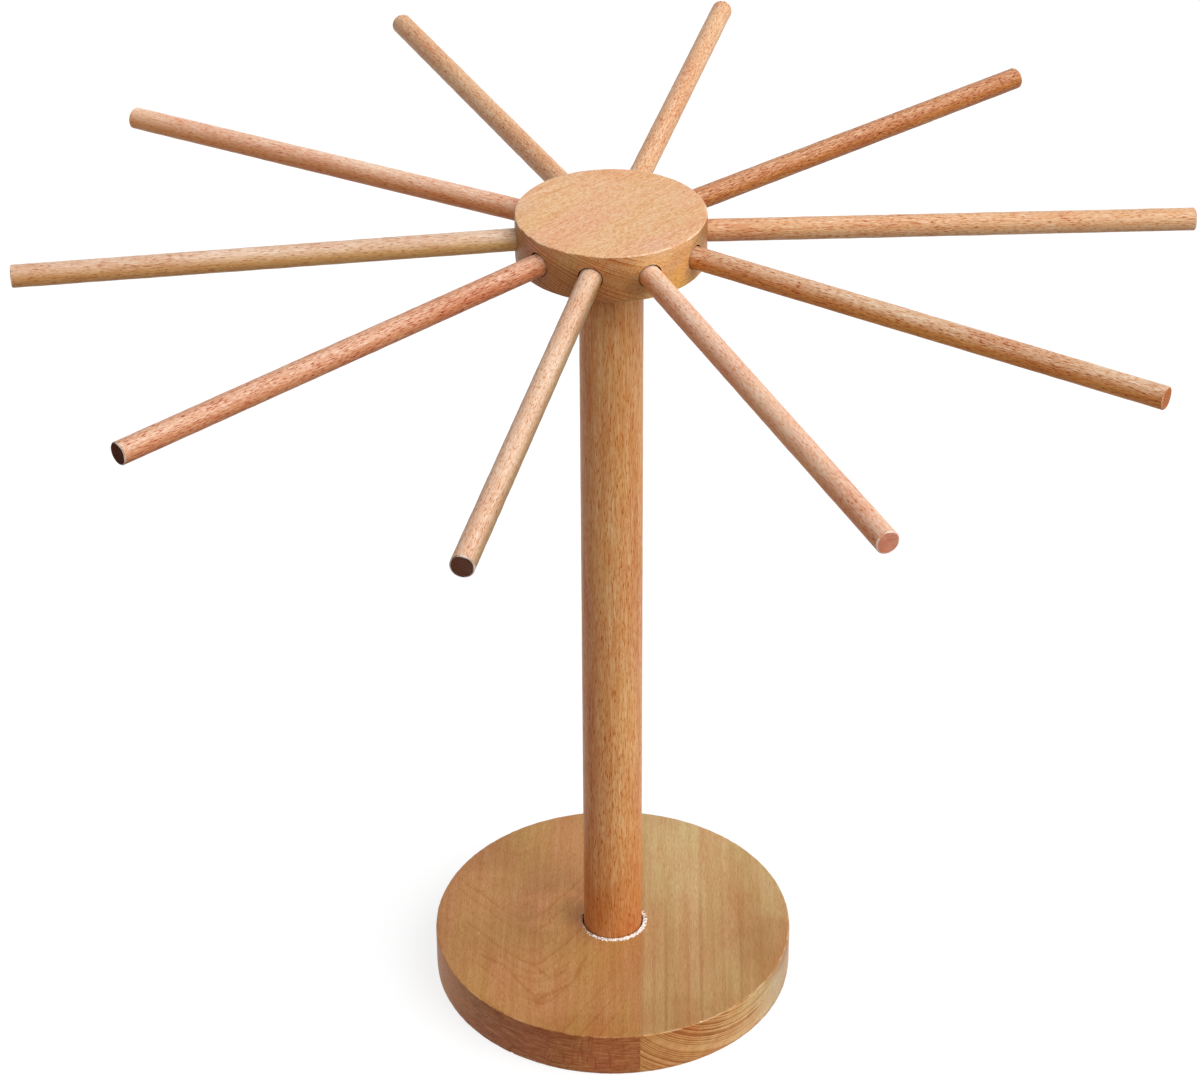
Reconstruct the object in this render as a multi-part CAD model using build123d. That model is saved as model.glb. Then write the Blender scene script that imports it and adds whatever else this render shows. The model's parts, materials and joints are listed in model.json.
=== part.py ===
from build123d import *
import os
from math import cos, radians, sin, tan

# Drying rack, all in beech: a round base made of two boards, a post that stands in it, a hub
# that turns on top of the post, and straight round arms plugged into the hub's rim.
# Millimetres, +Z up, origin in the middle of the base's underside, front of the rack at -Y.

# Base
base_diameter = 172.0
base_thickness = 23.0
base_edge_round = 0.8
seam_offset = 13.8          # glue line of the two boards, right of the axis
socket_depth = 16.0
socket_clearance = 0.5      # all round the post, so that it lifts out by hand
socket_chamfer = 0.6

# Post
post_diameter = 28.0
post_showing = 364.0        # from the top of the base to the underside of the hub
post_end_chamfer = 1.0

# Hub
hub_diameter = 82.0
hub_thickness = 21.5
hub_edge_round = 0.7
bore_depth = 13.0
bore_clearance = 0.08       # running fit on the post
bore_chamfer = 0.8

# Arms
arm_count = 10
arm_diameter = 10.0
arm_length = 232.0
arm_hole_depth = 20.0
arm_clearance = 0.07        # left where the drooping arm comes nearest to its hole
arm_end_gap = 0.3           # between the arm's inner end and the bottom of its hole
arm_end_chamfer = 0.4
arm_droop_angle = 1.6       # degrees below level, outwards
first_arm_angle = -101.7    # degrees from +X, the arm that points at the front

# One overrun for every cut
overrun = 1.0

# Worked out from the sizes above
base_radius = base_diameter / 2
post_radius = post_diameter / 2
hub_radius = hub_diameter / 2
arm_radius = arm_diameter / 2
socket_radius = post_radius + socket_clearance
socket_floor = base_thickness - socket_depth
hub_bottom = base_thickness + post_showing
hub_top = hub_bottom + hub_thickness
post_length = socket_depth + post_showing + bore_depth
bore_radius = post_radius + bore_clearance
arm_height = hub_bottom + hub_thickness / 2

# An arm tips about the middle of its hole, which is bored wide enough to let it droop.
arm_pivot_radius = hub_radius - arm_hole_depth / 2
arm_sway = arm_hole_depth / 2 * tan(radians(arm_droop_angle))
arm_hole_radius = arm_radius / cos(radians(arm_droop_angle)) + arm_sway + arm_clearance
arm_inner_reach = (
    arm_hole_depth / 2 - arm_end_gap - arm_radius * sin(radians(arm_droop_angle))
) / cos(radians(arm_droop_angle))


def upright(radius, bottom, top):
    """A solid cylinder on the rack's axis between two heights."""
    return Pos(0, 0, (bottom + top) / 2) * Cylinder(radius, top - bottom)


def countersink(radius, depth, height, upwards):
    """A cone that breaks the mouth of a hole on the rack's axis, with its wide end past the face."""
    side = 1 if upwards else -1
    cone = Cone(radius, radius + depth + overrun, depth + overrun)
    if not upwards:
        cone = Rot(180, 0, 0) * cone
    return Pos(0, 0, height + side * (overrun - depth) / 2) * cone


def arm_place(index):
    """The turned frame of one arm: its X axis points outwards, level, at the arms' height."""
    angle = first_arm_angle + index * 360 / arm_count
    return Pos(0, 0, arm_height) * Rot(0, 0, angle)


def base_disc():
    """The whole base before it is parted at the seam, with the socket for the post."""
    disc = upright(base_radius, 0, base_thickness)
    disc = fillet(disc.edges().filter_by(GeomType.CIRCLE), base_edge_round)
    disc -= upright(socket_radius, socket_floor, base_thickness + overrun)
    return disc - countersink(socket_radius, socket_chamfer, base_thickness, True)


def base_board(side):
    """The part of the base on one side of the seam."""
    return split(base_disc(), bisect_by=Plane.YZ.offset(seam_offset), keep=side)


def post():
    """The round post, from the floor of the base's socket to the roof of the hub's bore."""
    rod = upright(post_radius, socket_floor, socket_floor + post_length)
    return chamfer(rod.edges().filter_by(GeomType.CIRCLE), post_end_chamfer)


def hub():
    """The hub: a thick disc with a blind bore below and one blind hole in its rim for each arm."""
    disc = upright(hub_radius, hub_bottom, hub_top)
    disc = fillet(disc.edges().filter_by(GeomType.CIRCLE), hub_edge_round)
    disc -= upright(bore_radius, hub_bottom - overrun, hub_bottom + bore_depth)
    disc -= countersink(bore_radius, bore_chamfer, hub_bottom, False)
    hole_length = arm_hole_depth + overrun
    hole = Rot(0, 90, 0) * Cylinder(arm_hole_radius, hole_length)
    hole_middle = hub_radius - arm_hole_depth + hole_length / 2
    for index in range(arm_count):
        disc -= arm_place(index) * Pos(hole_middle, 0, 0) * hole
    return disc


def arm(index):
    """One arm, tipped down about the middle of its hole by its droop."""
    rod = Rot(0, 90, 0) * Cylinder(arm_radius, arm_length)
    rod = chamfer(rod.edges().filter_by(GeomType.CIRCLE), arm_end_chamfer)
    rod = Pos(arm_length / 2 - arm_inner_reach, 0, 0) * rod
    return arm_place(index) * Pos(arm_pivot_radius, 0, 0) * Rot(0, arm_droop_angle, 0) * rod


pieces = {
    "base_board_left": base_board(Keep.BOTTOM),
    "base_board_right": base_board(Keep.TOP),
    "post": post(),
    "hub": hub(),
}
for number in range(arm_count):
    pieces[f"arm_{number + 1:02d}"] = arm(number)

os.makedirs("parts", exist_ok=True)
for name, piece in pieces.items():
    export_step(piece, f"parts/{name}.step")
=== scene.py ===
"""A round beech drying rack: a base of two boards, a post, a turning hub and ten arms.

Metres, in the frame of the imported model: +Z runs up the post and the front is at -Y.
"""

import json
import logging
import math
from collections.abc import Callable
from dataclasses import dataclass, field, replace
from enum import Enum
from typing import Any

import bpy
from mathutils import Euler, Matrix, Quaternion, Vector

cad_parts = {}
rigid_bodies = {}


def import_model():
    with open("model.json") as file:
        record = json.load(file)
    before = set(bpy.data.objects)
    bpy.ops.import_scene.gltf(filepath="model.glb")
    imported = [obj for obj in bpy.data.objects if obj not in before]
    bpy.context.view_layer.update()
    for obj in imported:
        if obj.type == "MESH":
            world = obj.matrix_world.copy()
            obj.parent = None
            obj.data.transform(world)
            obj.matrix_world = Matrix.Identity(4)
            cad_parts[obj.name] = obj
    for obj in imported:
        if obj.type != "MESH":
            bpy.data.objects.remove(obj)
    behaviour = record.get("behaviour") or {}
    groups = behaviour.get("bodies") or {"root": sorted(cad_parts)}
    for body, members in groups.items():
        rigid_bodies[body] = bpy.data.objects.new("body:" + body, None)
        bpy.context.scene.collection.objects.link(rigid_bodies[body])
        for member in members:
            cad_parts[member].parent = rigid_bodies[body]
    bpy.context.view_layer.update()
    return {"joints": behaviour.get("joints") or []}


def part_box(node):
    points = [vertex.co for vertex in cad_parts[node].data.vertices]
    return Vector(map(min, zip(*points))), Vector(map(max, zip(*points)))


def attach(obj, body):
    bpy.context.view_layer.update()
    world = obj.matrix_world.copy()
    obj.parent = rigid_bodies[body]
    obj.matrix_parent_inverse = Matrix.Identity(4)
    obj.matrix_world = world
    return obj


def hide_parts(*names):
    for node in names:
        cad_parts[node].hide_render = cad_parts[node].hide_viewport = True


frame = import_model()

log = logging.getLogger("drying_rack")

MM = 0.001
Point = tuple[float, float, float]
Colour = tuple[float, float, float]
Piece = bpy.types.Object
Finish = bpy.types.Material
Socket = bpy.types.NodeSocket
Feed = Socket | float | tuple[float, ...]


def srgb(red: int, green: int, blue: int) -> Colour:
    """Turn a colour as it shows on screen into the linear colour that a shader takes.

    Args:
        red: Red as it shows, 0 to 255.
        green: Green as it shows, 0 to 255.
        blue: Blue as it shows, 0 to 255.

    Returns:
        The same colour in linear light, each part 0 to 1.
    """
    shown = [part / 255 for part in (red, green, blue)]
    low, knee, slope = 12.92, 0.04045, 0.055
    linear = [s / low if s <= knee else ((s + slope) / (1 + slope)) ** 2.4 for s in shown]
    return (linear[0], linear[1], linear[2])


def turn_to(axis: Vector | Point) -> Quaternion:
    """Turn that takes Z to an axis."""
    return Vector(axis).to_track_quat("Z", "Y")


class Slot(Enum):
    """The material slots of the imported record."""

    LEFT_BOARD = "left_board_beech"
    RIGHT_BOARD = "right_board_beech"
    POST = "post_beech"
    HUB = "hub_beech"
    ARM = "arm_beech"


@dataclass
class Outline:
    """Half the section of a turned piece, walked from the axis round to the axis again."""

    points: list[tuple[float, float]] = field(default_factory=list)

    def to(self, radius: float, height: float, parts: int = 1) -> "Outline":
        """Walk straight to a point.

        Args:
            radius: Distance of the point from the axis.
            height: Height of the point.
            parts: Number of equal steps to take.

        Returns:
            This outline.
        """
        if not self.points:
            self.points.append((radius, height))
            return self
        start = self.points[-1]
        across, up = radius - start[0], height - start[1]
        for step in range(1, parts + 1):
            share = step / parts
            self.points.append((start[0] + across * share, start[1] + up * share))
        return self

    def bend(self, centre: tuple[float, float], size: float, start: float, end: float,
             parts: int) -> "Outline":
        """Walk round a corner.

        Args:
            centre: Middle of the arc, as radius and height.
            size: Radius of the arc.
            start: Angle in degrees at which the arc starts, 0 outwards and 90 upwards.
            end: Angle in degrees at which it ends.
            parts: Number of equal steps to take.

        Returns:
            This outline.
        """
        for step in range(1, parts + 1):
            angle = math.radians(start + (end - start) * step / parts)
            self.points.append((centre[0] + size * math.cos(angle), centre[1] + size * math.sin(angle)))
        return self


@dataclass(frozen=True)
class Wear:
    """How a surface is rubbed down unevenly.

    Attributes:
        depth: The most that is taken off.
        size: How far apart the hollows lie.
        down: Whether the surface sinks straight down, rather than into the piece.
    """

    depth: float
    size: float
    down: bool = False


@dataclass(frozen=True)
class Chip:
    """A small splinter broken out of a rim.

    Attributes:
        bearing: Degrees round from +X.
        size: Half its extent along X, Y and Z, in millimetres.
        seed: Which ragged shape it has.
        top: Whether it is in the upper rim.
    """

    bearing: float
    size: Point
    seed: int
    top: bool = True


@dataclass(frozen=True)
class Disc:
    """The outer form of a flat round piece with two rounded rims.

    Attributes:
        radius: Its radius.
        low: Height of its underside.
        high: Height of its top.
        round: Rounding of the rims.
    """

    radius: float
    low: float
    high: float
    round: float

    def worn(self, point: Vector) -> float:
        """Share of the wear that a point takes: all of it at the two rims, none elsewhere."""
        rim = point.z > self.high - self.round or point.z < self.low + self.round
        return float(rim and math.hypot(point.x, point.y) > self.radius - 2 * self.round)


class Bench:
    """The workbench: turning, parting, boring, wearing and chipping with Blender's own tools."""

    @staticmethod
    def clear() -> None:
        """Deselect every object."""
        bpy.ops.object.select_all(action="DESELECT")

    @classmethod
    def take(cls, piece: Piece) -> None:
        """Select one piece alone and make it the active one.

        Args:
            piece: The piece.
        """
        cls.clear()
        piece.select_set(True)
        bpy.context.view_layer.objects.active = piece

    @classmethod
    def turn(cls, name: str, outline: Outline, steps: int) -> Piece:
        """Turn a closed solid about the Z axis, as on a lathe.

        Args:
            name: Name of the piece.
            outline: Half of its section.
            steps: Number of facets round the axis.

        Returns:
            The turned piece.
        """
        cls.clear()
        here = outline.points[0]
        bpy.ops.mesh.primitive_plane_add(size=MM, location=(here[0], 0, here[1]))
        piece = bpy.context.object
        piece.name = piece.data.name = name
        cls.settle()
        bpy.ops.object.mode_set(mode="EDIT")
        bpy.ops.mesh.select_mode(type="VERT")
        bpy.ops.mesh.select_all(action="SELECT")
        bpy.ops.mesh.merge(type="CENTER")
        for there in outline.points[1:]:
            move = (there[0] - here[0], 0, there[1] - here[1])
            bpy.ops.mesh.extrude_vertices_move(TRANSFORM_OT_translate={"value": move})
            here = there
        bpy.ops.mesh.select_all(action="SELECT")
        bpy.ops.mesh.spin(steps=steps, angle=math.tau, center=(0, 0, 0), axis=(0, 0, 1))
        cls.close_up()
        bpy.ops.object.mode_set(mode="OBJECT")
        return piece

    @staticmethod
    def settle() -> None:
        """Put the place, turn and size of the active piece into its mesh."""
        bpy.ops.object.transform_apply(location=True, rotation=True, scale=True)

    @staticmethod
    def close_up() -> None:
        """In edit mode, merge double points and turn every face outwards."""
        bpy.ops.mesh.select_all(action="SELECT")
        bpy.ops.mesh.remove_doubles(threshold=MM / 500)
        bpy.ops.mesh.normals_make_consistent(inside=False)

    @classmethod
    def part(cls, piece: Piece, at: Point, keep_side: Point) -> None:
        """Saw a piece along a plane and keep one side.

        Args:
            piece: The piece to saw.
            at: A point of the plane.
            keep_side: The plane's normal, pointing at the side that stays.
        """
        cls.take(piece)
        bpy.ops.object.mode_set(mode="EDIT")
        bpy.ops.mesh.select_all(action="SELECT")
        bpy.ops.mesh.bisect(plane_co=at, plane_no=keep_side, use_fill=True, clear_inner=True)
        cls.close_up()
        bpy.ops.object.mode_set(mode="OBJECT")

    @classmethod
    def copy(cls, piece: Piece, name: str, place: Matrix = Matrix.Identity(4)) -> Piece:
        """Copy a piece with its own mesh, and put the copy's place into that mesh.

        Args:
            piece: The piece to copy.
            name: Name of the copy.
            place: Where the copy goes, from where the piece is.

        Returns:
            The copy.
        """
        cls.take(piece)
        bpy.ops.object.duplicate(linked=False)
        twin = bpy.context.object
        twin.name = twin.data.name = name
        twin.matrix_world = place
        cls.settle()
        return twin

    @classmethod
    def discard(cls, piece: Piece) -> None:
        """Throw a piece away."""
        bpy.data.objects.remove(piece)

    @classmethod
    def cut(cls, piece: Piece, cutter: Piece) -> None:
        """Cut a piece with another one, which is used up. Faces that the cut leaves keep the cutter's finish.

        Args:
            piece: The piece to cut.
            cutter: The solid to take away from it.
        """
        cls.take(piece)
        saw = piece.modifiers.new("cut", "BOOLEAN")
        saw.object = cutter
        saw.operation = "DIFFERENCE"
        saw.solver = "EXACT"
        saw.material_mode = "TRANSFER"
        bpy.ops.object.modifier_apply(modifier=saw.name)
        cls.discard(cutter)

    @classmethod
    def wear(cls, piece: Piece, wear: Wear, where: Callable[[Vector], float]) -> None:
        """Rub a surface down unevenly, always inwards.

        Args:
            piece: The piece to wear.
            wear: How it is rubbed down.
            where: Share of the depth, 0 to 1, that a point of the piece may lose.
        """
        cls.take(piece)
        group = piece.vertex_groups.new(name="worn")
        for vertex in piece.data.vertices:
            group.add([vertex.index], where(vertex.co), "REPLACE")
        clouds = bpy.data.textures.new(f"{piece.name}_wear", "CLOUDS")
        clouds.noise_scale = wear.size
        clouds.noise_depth = 2
        rub = piece.modifiers.new("wear", "DISPLACE")
        rub.texture = clouds
        rub.texture_coords = "LOCAL"
        rub.vertex_group = "worn"
        rub.direction = "Z" if wear.down else "NORMAL"
        rub.strength = wear.depth
        rub.mid_level = 1.0
        bpy.ops.object.modifier_apply(modifier=rub.name)
        piece.vertex_groups.remove(piece.vertex_groups["worn"])

    @classmethod
    def chip(cls, piece: Piece, disc: Disc, chip: Chip, raw: Finish) -> None:
        """Break a small splinter out of a piece.

        Args:
            piece: The piece to chip.
            disc: The outer form that it belongs to.
            chip: The chip.
            raw: Finish of the fresh wood inside.
        """
        turn = math.radians(chip.bearing)
        height = disc.high if chip.top else disc.low
        at = (disc.radius * math.cos(turn), disc.radius * math.sin(turn), height)
        size = [half * MM for half in chip.size]
        cls.clear()
        bpy.ops.mesh.primitive_ico_sphere_add(subdivisions=3, radius=1, location=at, scale=size)
        splinter = bpy.context.object
        cls.settle()
        bpy.ops.object.mode_set(mode="EDIT")
        bpy.ops.mesh.select_all(action="SELECT")
        bpy.ops.transform.vertex_random(offset=min(size) / 3, seed=chip.seed)
        bpy.ops.object.mode_set(mode="OBJECT")
        splinter.data.materials.append(raw)
        cls.cut(piece, splinter)

    @classmethod
    def smooth(cls, piece: Piece, angle: float = 32) -> None:
        """Shade a piece smooth, apart from edges sharper than an angle in degrees."""
        cls.take(piece)
        bpy.ops.object.shade_smooth_by_angle(angle=math.radians(angle))


class Graph:
    """The nodes of a finish, added step by step. A feed is a value, a colour, or another node's socket."""

    def __init__(self, owner: Finish | bpy.types.World) -> None:
        """Start without nodes.

        Args:
            owner: What the nodes belong to.
        """
        owner.use_nodes = True
        self.nodes, self.links = owner.node_tree.nodes, owner.node_tree.links
        self.nodes.clear()

    def add(self, kind: str, feeds: dict[int | str, Feed], **options: Any) -> bpy.types.Node:
        """Add a node.

        Args:
            kind: The node's type, without its leading ShaderNode.
            feeds: What goes into each input, by index or name.
            options: The node's own settings.

        Returns:
            The node.
        """
        node = self.nodes.new(f"ShaderNode{kind}")
        for name, value in options.items():
            setattr(node, name, value)
        for key, value in feeds.items():
            socket = node.inputs[key]
            if isinstance(value, Socket):
                self.links.new(value, socket)
            elif socket.type == "RGBA":
                socket.default_value = (*value, 1)
            else:
                socket.default_value = value
        return node

    def sum(self, operation: str, *feeds: Feed, clamp: bool = False) -> Socket:
        """Work out one number with a Math node, whose result can be held between 0 and 1."""
        return self.add("Math", dict(enumerate(feeds)), operation=operation, use_clamp=clamp).outputs[0]

    def vector(self, operation: str, *feeds: Feed) -> Socket:
        """Work out one vector with a Vector Math node."""
        return self.add("VectorMath", dict(enumerate(feeds)), operation=operation).outputs[0]

    def scaled(self, vector: Feed, factor: Feed) -> Socket:
        """Multiply a vector or colour by a number."""
        return self.add("VectorMath", {0: vector, "Scale": factor}, operation="SCALE").outputs[0]

    def length(self, vector: Feed) -> Socket:
        """Measure how long a vector is."""
        return self.add("VectorMath", {0: vector}, operation="LENGTH").outputs["Value"]

    def polar(self, place: Feed) -> tuple[Socket, Socket]:
        """Measure how far a place is from the Z axis, and how far along it."""
        away = self.length(self.vector("MULTIPLY", place, (1, 1, 0)))
        return away, self.add("SeparateXYZ", {0: place}).outputs[2]

    def seen_from(self, place: Feed, origin: Point, turn: Euler, unit: Point = (MM, MM, MM)) -> Socket:
        """Measure a place from an origin, along turned axes and with a unit for each of them."""
        feeds = {"Vector": place, "Location": origin, "Rotation": turn, "Scale": unit}
        return self.add("Mapping", feeds, vector_type="TEXTURE").outputs[0]

    def step(self, value: Feed, low: float, high: float, start: float = 0, end: float = 1) -> Socket:
        """Lead a number smoothly from start, which it leaves at low, to end, which it reaches at high."""
        feeds = {0: value, 1: low, 2: high, 3: start, 4: end}
        return self.add("MapRange", feeds, interpolation_type="SMOOTHSTEP").outputs[0]

    def noise(self, place: Feed, scale: float, detail: float = 2, roughness: float = 0.5,
              drawn: float = 1) -> bpy.types.NodeOutputs:
        """Add a cloudy noise.

        Args:
            place: Where it is read.
            scale: Its features for each unit of place.
            detail: How many finer layers it has.
            roughness: How strong those are.
            drawn: Share of the scale that is left along Z, less than 1 where the noise is drawn out.

        Returns:
            The noise's outputs: 0 is a number about one half, 1 a vector of three.
        """
        if drawn != 1:
            place = self.vector("MULTIPLY", place, (1, 1, drawn))
        feeds = {"Vector": place, "Scale": scale, "Detail": detail, "Roughness": roughness}
        return self.add("TexNoise", feeds).outputs

    def stray(self, place: Feed, scale: float, detail: float, drawn: float = 1) -> Socket:
        """Turn a noise into a shift of up to about one half each way."""
        return self.vector("SUBTRACT", self.noise(place, scale, detail, drawn=drawn)[1], (0.5, 0.5, 0.5))

    def mix(self, share: Feed, first: Feed, second: Feed) -> Socket:
        """Mix two colours, by the share of the second one."""
        return self.add("Mix", {0: share, 6: first, 7: second}, data_type="RGBA").outputs[2]

    def tinted(self, share: Feed, colour: Feed, tint: Colour) -> Socket:
        """Multiply a colour by a tint, as far as a share says."""
        return self.mix(share, colour, self.vector("MULTIPLY", colour, tint))

    def end(self, shader: bpy.types.Node, kind: str = "OutputMaterial") -> None:
        """Send a shader to the output."""
        self.add(kind, {"Surface": shader.outputs[0]})


@dataclass(frozen=True)
class Stem:
    """Where a piece was cut from its tree.

    Attributes:
        pith: A point of the line that the growth lines run round.
        grain: Direction of the grain, along the stem.
        away: Rough distance of the piece from the stem's heart.
        taper: How fast the stem grows thinner, 0 for a straight one.
        turn: Turn in degrees of the growth lines about the vertical, where they wander from the grain.
        heart: A point of the line that the rays point at, where that isn't the pith.
    """

    pith: Point
    grain: Point
    away: float = 0.06
    taper: float = 0.0
    turn: float = 0.0
    heart: Point | None = None

    def facing(self, turned: float = 0.0) -> Euler:
        """Turn that takes Z to the grain, with a further turn in degrees about the vertical."""
        grain = Matrix.Rotation(math.radians(turned), 3, "Z") @ Vector(self.grain)
        return turn_to(grain).to_euler()


@dataclass(frozen=True)
class Rim:
    """A turned edge that wears pale.

    Attributes:
        radius: Distance of the edge from the piece's own axis.
        height: Place of the edge along that axis.
        width: Width of the worn line.
    """

    radius: float
    height: float
    width: float

    def rubbed(self, graph: Graph, place: Socket) -> Socket:
        """Wear the edge pale, more in some places than in others.

        Args:
            graph: The material's nodes.
            place: Place round the piece's own axis, in millimetres.

        Returns:
            The socket of how worn each place is.
        """
        section = graph.add("CombineXYZ", dict(enumerate(graph.polar(place)))).outputs[0]
        gap = graph.length(graph.vector("SUBTRACT", section, (self.radius / MM, self.height / MM, 0)))
        uneven = graph.step(graph.noise(place, 0.13, 3, 0.6)[0], 0.35, 0.7, 0.35, 1.3)
        reach = graph.sum("MULTIPLY", uneven, self.width / MM)
        near = graph.sum("SUBTRACT", 1.0, graph.sum("DIVIDE", gap, reach), clamp=True)
        return graph.sum("MULTIPLY", graph.step(near, 0, 0.7), 0.8)


@dataclass(frozen=True)
class Lathe:
    """The axis that a piece was turned about, and its edges that wear.

    Attributes:
        rims: The worn edges.
        worn: Colour of the worn wood.
        centre: Point of the axis that heights start from.
        axis: Direction of the axis.
    """

    rims: tuple[Rim, ...] = ()
    worn: Colour = (1, 1, 1)
    centre: Point = (0, 0, 0)
    axis: Point = (0, 0, 1)


@dataclass(frozen=True)
class ToneAndLightPatch:
    """A soft patch of colour on the wood: some are the wood's own tone, some are painted light and shade.

    Attributes:
        centre: Its middle.
        reach: How far it spreads along X, Y and Z.
        tint: What the colour is multiplied by at its middle.
        turn: Turn in degrees about the vertical.
        aside: Whether it leaves faces that look up alone.
    """

    centre: Point
    reach: Point
    tint: Colour
    turn: float = 0.0
    aside: bool = False

    def spread(self, graph: Graph, place: Socket) -> Socket:
        """Spread the patch with an uneven edge.

        Args:
            graph: The material's nodes.
            place: Place on the piece, in metres.

        Returns:
            The socket of how much of it is at each place.
        """
        near = graph.seen_from(place, self.centre, Euler((0, 0, math.radians(self.turn))), self.reach)
        gap = graph.length(graph.vector("ADD", near, graph.stray(near, 2.2, 2)))
        return graph.step(gap, 0.1, 1, 1, 0)


@dataclass(frozen=True)
class Beech:
    """One piece's beech, oiled to a satin: its colours and the size of its figure, lengths in millimetres.

    The figure is where the oil has gone in deeper, which makes the wood darker and warmer at once. How
    strongly a part of it shows is how much deeper.

    Attributes:
        body: Colour of the wood.
        blush: Colour of large cloudy patches.
        end: Tint of the end grain, which multiplies the rest.
        underside_shade: Painted shade: a tint of faces that don't look up, which multiplies the rest.
        ring: Distance between growth lines.
        ring_line: Share of that distance that a growth line takes up.
        ring_show: How strongly the growth lines show.
        ring_end: How strongly they show on end grain.
        ring_pick: 0 where all growth lines show alike, more where only a few stand out.
        ring_fade: How far from the pith the growth lines fade out, 0 for never.
        wander: How far the growth lines stray.
        fleck_show: How strongly the rays show.
        fleck_end: How strongly they show on end grain.
        fleck_size: A ray's width, depth towards the pith, and height along the grain.
        dash_show: How strongly short dark and pale dashes show.
        dash_pale: How strong the pale ones are, beside the dark ones.
        dash_rare: 0 where dashes lie close together, up to about 0.1 where they are few.
        dash_size: A dash's width and length.
        fibre_show: How strongly the fine fibres show.
        fibre_size: Width of the widest of them.
        band_show: How strongly long bands along the grain show.
        marks_show: How strongly fine marks of the turning show on end grain.
        blush_show: How strongly the cloudy patches show.
        gloss: Roughness of the surface.
        sheen: How much the surface reflects.
        tone_and_light_patches: Patches with a colour of their own: the wood's tone, and painted light and
            shade.
    """

    body: Colour
    blush: Colour
    end: Colour = (0.8, 0.7, 0.6)
    underside_shade: Colour = (1, 1, 1)
    ring: float = 2.2
    ring_line: float = 0.25
    ring_show: float = 0.2
    ring_end: float = 0.3
    ring_pick: float = 0.3
    ring_fade: float = 0.0
    wander: float = 2.0
    fleck_show: float = 0.2
    fleck_end: float = 0.2
    fleck_size: Point = (0.8, 16.0, 3.4)
    dash_show: float = 0.15
    dash_pale: float = 0.4
    dash_rare: float = 0.0
    dash_size: tuple[float, float] = (0.5, 3.0)
    fibre_show: float = 0.2
    fibre_size: float = 0.45
    band_show: float = 0.2
    marks_show: float = 0.0
    blush_show: float = 0.7
    gloss: float = 0.46
    sheen: float = 0.25
    tone_and_light_patches: tuple[ToneAndLightPatch, ...] = ()

    def material(self, name: str, stem: Stem, lathe: Lathe = Lathe()) -> Finish:
        """Make the finish for one piece.

        Args:
            name: Name of the material.
            stem: Where the piece was cut from its tree.
            lathe: The piece's own axis and its worn edges.

        Returns:
            The material.
        """
        material = bpy.data.materials.new(name)
        graph = Graph(material)
        coordinates = graph.add("TexCoord", {}).outputs
        place, normal = coordinates["Object"], coordinates["Normal"]
        fibres = graph.seen_from(place, stem.heart or stem.pith, stem.facing())
        facing = graph.add("VectorMath", {0: normal, 1: stem.grain}, operation="DOT_PRODUCT")
        end = graph.step(graph.sum("ABSOLUTE", facing.outputs["Value"]), 0.3, 0.75)
        rings = graph.seen_from(place, stem.pith, stem.facing(stem.turn))
        line = self.growth(graph, rings, stem.taper, end)

        # How deep the oil has gone in.
        width, length = self.dash_size
        threads = graph.noise(fibres, 1 / self.fibre_size, 2, 0.7, 0.06)[0]
        bands = graph.noise(fibres, 0.3, 3, 0.6, 0.04)[0]
        speck = graph.noise(fibres, 0.9 / width, 1, drawn=width / length)[0]
        ray = self.rays(graph, fibres, stem.away / MM)
        dark = graph.step(speck, 0.54 + self.dash_rare, 0.66 + self.dash_rare)
        rings_show = graph.sum("MULTIPLY_ADD", end, self.ring_end - self.ring_show, self.ring_show)
        rays_show = graph.sum("MULTIPLY_ADD", end, self.fleck_end - self.fleck_show, self.fleck_show)
        deep = graph.sum("MULTIPLY_ADD", line, rings_show, 1 - self.fibre_show - self.band_show)
        for layer, strength in ((ray, rays_show), (dark, self.dash_show),
                                (graph.step(speck, 0.46, 0.33), -self.dash_pale * self.dash_show),
                                (threads, 2 * self.fibre_show), (bands, 2 * self.band_show)):
            deep = graph.sum("MULTIPLY_ADD", layer, strength, deep)
        if self.marks_show:
            turned = graph.vector("MULTIPLY", place, (90, 90, 900))
            marks = graph.sum("SUBTRACT", graph.noise(turned, 1.3, 2, 0.75)[0], 0.5)
            deep = graph.sum("MULTIPLY_ADD", graph.sum("MULTIPLY", marks, end), 2 * self.marks_show, deep)

        # Colour, from the wood itself to its patches of tone and of painted light and shade, its painted
        # underside shade, and its worn edges.
        clouds = graph.noise(fibres, 1 / 22, 3, 0.55, 0.3)[0]
        share = graph.sum("MULTIPLY", graph.step(clouds, 0.32, 0.68), self.blush_show)
        colour = graph.add("Gamma", {0: graph.mix(share, self.body, self.blush), 1: deep}).outputs[0]
        colour = graph.tinted(end, colour, self.end)
        upward = graph.add("SeparateXYZ", {0: normal}).outputs[2]
        # Painted shade: faces that don't look straight up take a darker, warmer tint, in full from level
        # downwards.
        if self.underside_shade != (1, 1, 1):
            colour = graph.tinted(graph.step(upward, 1, 0), colour, self.underside_shade)
        aside = graph.step(upward, 0.9, 0.4)
        for patch in self.tone_and_light_patches:
            share = patch.spread(graph, place)
            share = graph.sum("MULTIPLY", share, aside) if patch.aside else share
            colour = graph.tinted(share, colour, patch.tint)
        if lathe.rims:
            around = graph.seen_from(place, lathe.centre, turn_to(lathe.axis).to_euler())
            for rim in lathe.rims:
                colour = graph.mix(rim.rubbed(graph, around), colour, lathe.worn)

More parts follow.
